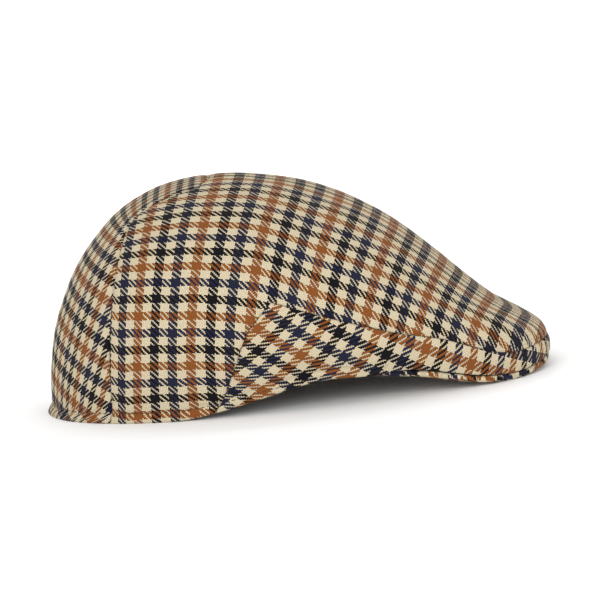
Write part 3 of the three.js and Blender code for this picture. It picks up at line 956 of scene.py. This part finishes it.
def twill(n, t, r, ti, rj):
    """Where the threads over the crown show, and how far each thread stands up.

    Two over and two under, each thread one step on from the last. A coloured thread is a
    little fuller than a cream one, so its floats reach further over their neighbours.
    """
    def wrapped(place, shift):
        return n.math("FLOORED_MODULO", n.math("ADD", place, shift), 4.0)

    def shared(share, a, b):
        rest = n.math("SUBTRACT", 1.0, share)
        return n.math("ADD", n.math("MULTIPLY", a, share), n.math("MULTIPLY", b, rest))

    def round_thread(place, index, float_place):
        across = n.math("MULTIPLY_ADD", n.math("SUBTRACT", place, index), 2.0, -1.0)
        square = n.math("SUBTRACT", 1.0, n.math("MULTIPLY", across, across))
        profile = n.math("SQRT", n.math("MAXIMUM", square, 0.0))
        arch = n.math("COSINE", n.math("MULTIPLY", float_place, math.pi / 2 * 0.92))
        return n.math("MULTIPLY", profile, n.math("MULTIPLY_ADD", arch, 0.55, 0.45))

    from_t, from_r = n.math("SUBTRACT", r, ti), n.math("SUBTRACT", t, rj)
    shorter = n.math("MULTIPLY", coloured(n, rj), -FULLER_ALONG)
    fuller = n.math("MULTIPLY_ADD", coloured(n, ti), FULLER_OVER, shorter)
    start = n.math("MULTIPLY_ADD", fuller, 0.5, 1.0)
    over_by_t = n.math("LESS_THAN", wrapped(from_t, start), n.math("ADD", 2.0, fuller))
    start_r = n.math("MULTIPLY_ADD", fuller, -0.5, -2.0)
    over_by_r = n.math("GREATER_THAN", wrapped(from_r, start_r), n.math("SUBTRACT", 2.0, fuller))
    over = shared(n.math("LESS_THAN", fuller, -0.01), over_by_r, over_by_t)
    height_t = round_thread(t, ti, n.math("SUBTRACT", wrapped(from_t, 2.0), 2.0))
    height_r = round_thread(r, rj, n.math("SUBTRACT", wrapped(from_r, -1.0), 2.0))
    return over, shared(over, height_t, height_r)


def check_cloth():
    """Twill of six coloured and six cream threads, with three colours each way."""
    material = bpy.data.materials.new("checked wool")
    n = Nodes(material)
    uv = n.add("ShaderNodeUVMap", uv_map="weave").outputs[0]
    t, r = thread_numbers(n, uv)
    ti, rj = n.math("FLOOR", t), n.math("FLOOR", r)
    over, height = twill(n, t, r, ti, rj)
    over_yarn = yarn(n, ti, (BLACK, SLATE, BROWN), OVER_CREAM)
    along_yarn = yarn(n, rj, (BLACK, BROWN, NAVY), ALONG_CREAM)
    colour = n.mix(over, along_yarn, over_yarn)

    # Fibres: lighter and darker flecks of wool, painted shade where a thread sinks between its
    # neighbours, and a nap that blurs neighbouring threads.
    fibres = n.noise(uv, scale=95.0, detail=3.0, roughness=0.65)
    flecks = n.math("MULTIPLY_ADD", fibres.outputs[0], 0.62, 0.69)
    # Painted shade: the colour is darkened where a thread's height is low, between threads and at the
    # ends of its floats; the flecks are the wool's own tone.
    painted_thread_shade = n.math("MULTIPLY_ADD", height, 0.55, 0.50)
    flecks_and_painted_shade = n.math("MULTIPLY", flecks, painted_thread_shade)
    combine = n.add("ShaderNodeCombineColor")
    for socket in combine.inputs:
        n.put(flecks_and_painted_shade, socket)
    colour = n.mix(1.0, colour, combine.outputs[0], blend_type="MULTIPLY")
    fuzz = n.noise(uv, scale=60.0, detail=2.0, roughness=0.7)
    haze = n.math("MULTIPLY", n.math("POWER", fuzz.outputs[0], 2.0), 0.04)
    colour = n.mix(haze, colour, NAP)
    inside = n.add("ShaderNodeAttribute", attribute_name="inside")
    colour = n.mix(n.math("MULTIPLY", inside.outputs["Fac"], 0.30), colour, WRONG_SIDE)

    bump = n.add("ShaderNodeBump")
    bump.inputs["Strength"].default_value = 0.75
    bump.inputs["Distance"].default_value = 0.00028
    n.put(n.math("MULTIPLY_ADD", fibres.outputs[0], 0.35, height), bump.inputs["Height"])
    shader = n.finish(colour, roughness=0.93)
    shader.inputs["Specular IOR Level"].default_value = 0.08
    shader.inputs["Sheen Weight"].default_value = 0.03
    shader.inputs["Sheen Roughness"].default_value = 0.55
    shader.inputs["Sheen Tint"].default_value = (0.93, 0.88, 0.8, 1.0)
    n.put(bump.outputs[0], shader.inputs["Normal"])
    return material


def thread_material():
    material = bpy.data.materials.new("sewing thread")
    n = Nodes(material)
    place = n.add("ShaderNodeTexCoord")
    twist = n.noise(place.outputs["Object"], scale=2600.0, detail=2.0)
    n.finish(n.mix(twist.outputs[0], linear(26, 22, 24), linear(58, 48, 44)), roughness=0.7)
    return material


wool = check_cloth()
PIECES = [
    (top_panel(), "top_panel", "crown_cloth"),
    (back_panel(), "back_panel", "back_cloth"),
    (front_band(), "front_band", "band_cloth"),
    (peak_board(), "peak", "peak_cloth"),
]
for piece, node, finish in PIECES:
    piece.data.materials.append(wool)
    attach(piece, "root")
    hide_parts(node)

stitches = hem_stitches()
stitches.data.materials.append(thread_material())
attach(stitches, "root")


# Floor, light and camera, in metres.
def floor_paper():
    material = bpy.data.materials.new("floor paper")
    n = Nodes(material)
    place = n.add("ShaderNodeTexCoord")
    grain = n.noise(place.outputs["Object"], scale=18.0, detail=4.0)
    share = n.math("MULTIPLY", grain.outputs[0], 0.08)
    n.finish(n.mix(share, (0.95, 0.95, 0.95, 1.0), (0.88, 0.88, 0.88, 1.0)), roughness=0.85)
    return material


def floor():
    """A sweep: flat under the cap, rising behind it in a wide curve."""
    half, near, far, radius, top = 3.0, -2.5, 1.6, 0.9, 3.2
    steps = 24
    profile = [(near, 0.0), (far, 0.0)]
    for k in range(1, steps + 1):
        a = math.pi / 2 * k / steps
        profile.append((far + radius * math.sin(a), radius * (1 - math.cos(a))))
    profile.append((far + radius, top))
    points = [(x, y, z) for (y, z) in profile for x in (-half, half)]
    quads = [(2 * k, 2 * k + 1, 2 * k + 3, 2 * k + 2) for k in range(len(profile) - 1)]
    mesh = bpy.data.meshes.new("floor")
    mesh.from_pydata(points, [], quads)
    mesh.materials.append(floor_paper())
    return add_piece("floor", mesh)


def softbox(name, place, aim, width, height, power):
    light = bpy.data.lights.new(name, "AREA")
    light.shape = "RECTANGLE"
    light.size = width
    light.size_y = height
    light.energy = power
    lamp = bpy.data.objects.new(name, light)
    lamp.location = place
    lamp.rotation_euler = (Vector(aim) - Vector(place)).to_track_quat("-Z", "Y").to_euler()
    bpy.context.scene.collection.objects.link(lamp)
    return lamp


CAP_MIDDLE = (0.0, 0.0, 0.05)
WALL_MIDDLE = (0.0, 2.5, 0.7)
lamps = [
    softbox("key", (-0.5, -2.0, 0.8), CAP_MIDDLE, width=1.4, height=1.1, power=24.0),
    softbox("front fill", (1.2, -1.6, 0.5), CAP_MIDDLE, width=1.2, height=0.9, power=9.0),
    softbox("backdrop wash", (0.0, 0.9, 1.9), WALL_MIDDLE, width=2.6, height=0.8, power=30.0),
]
floor()

world = bpy.data.worlds.new("studio")
world.use_nodes = True
world.node_tree.nodes["Background"].inputs["Color"].default_value = (1.0, 1.0, 1.0, 1.0)
world.node_tree.nodes["Background"].inputs["Strength"].default_value = 0.84
bpy.context.scene.world = world
bpy.context.scene.view_settings.view_transform = "Standard"


def camera():
    """The photograph's view: from the wearer's right, a little above, the picture turned a little."""
    elevation = math.radians(7.5)
    turn = math.radians(5.8)
    distance = 1.6
    target = Vector((0.0052 - SET_BACK * 0.001, 0.0, 0.0455))
    ahead = Vector((0.0, math.cos(elevation), -math.sin(elevation)))
    level, upward = Vector((1, 0, 0)), Vector((0.0, math.sin(elevation), math.cos(elevation)))
    right = level * math.cos(turn) - upward * math.sin(turn)
    up = upward * math.cos(turn) + level * math.sin(turn)
    data = bpy.data.cameras.new("camera")
    data.lens = 180.35
    data.sensor_width = 36.0
    data.clip_end = 20.0
    eye = bpy.data.objects.new("camera", data)
    place = target - ahead * distance
    eye.matrix_world = Matrix((
        (right.x, up.x, -ahead.x, place.x),
        (right.y, up.y, -ahead.y, place.y),
        (right.z, up.z, -ahead.z, place.z),
        (0, 0, 0, 1),
    ))
    bpy.context.scene.collection.objects.link(eye)
    return eye


bpy.context.scene.camera = camera()
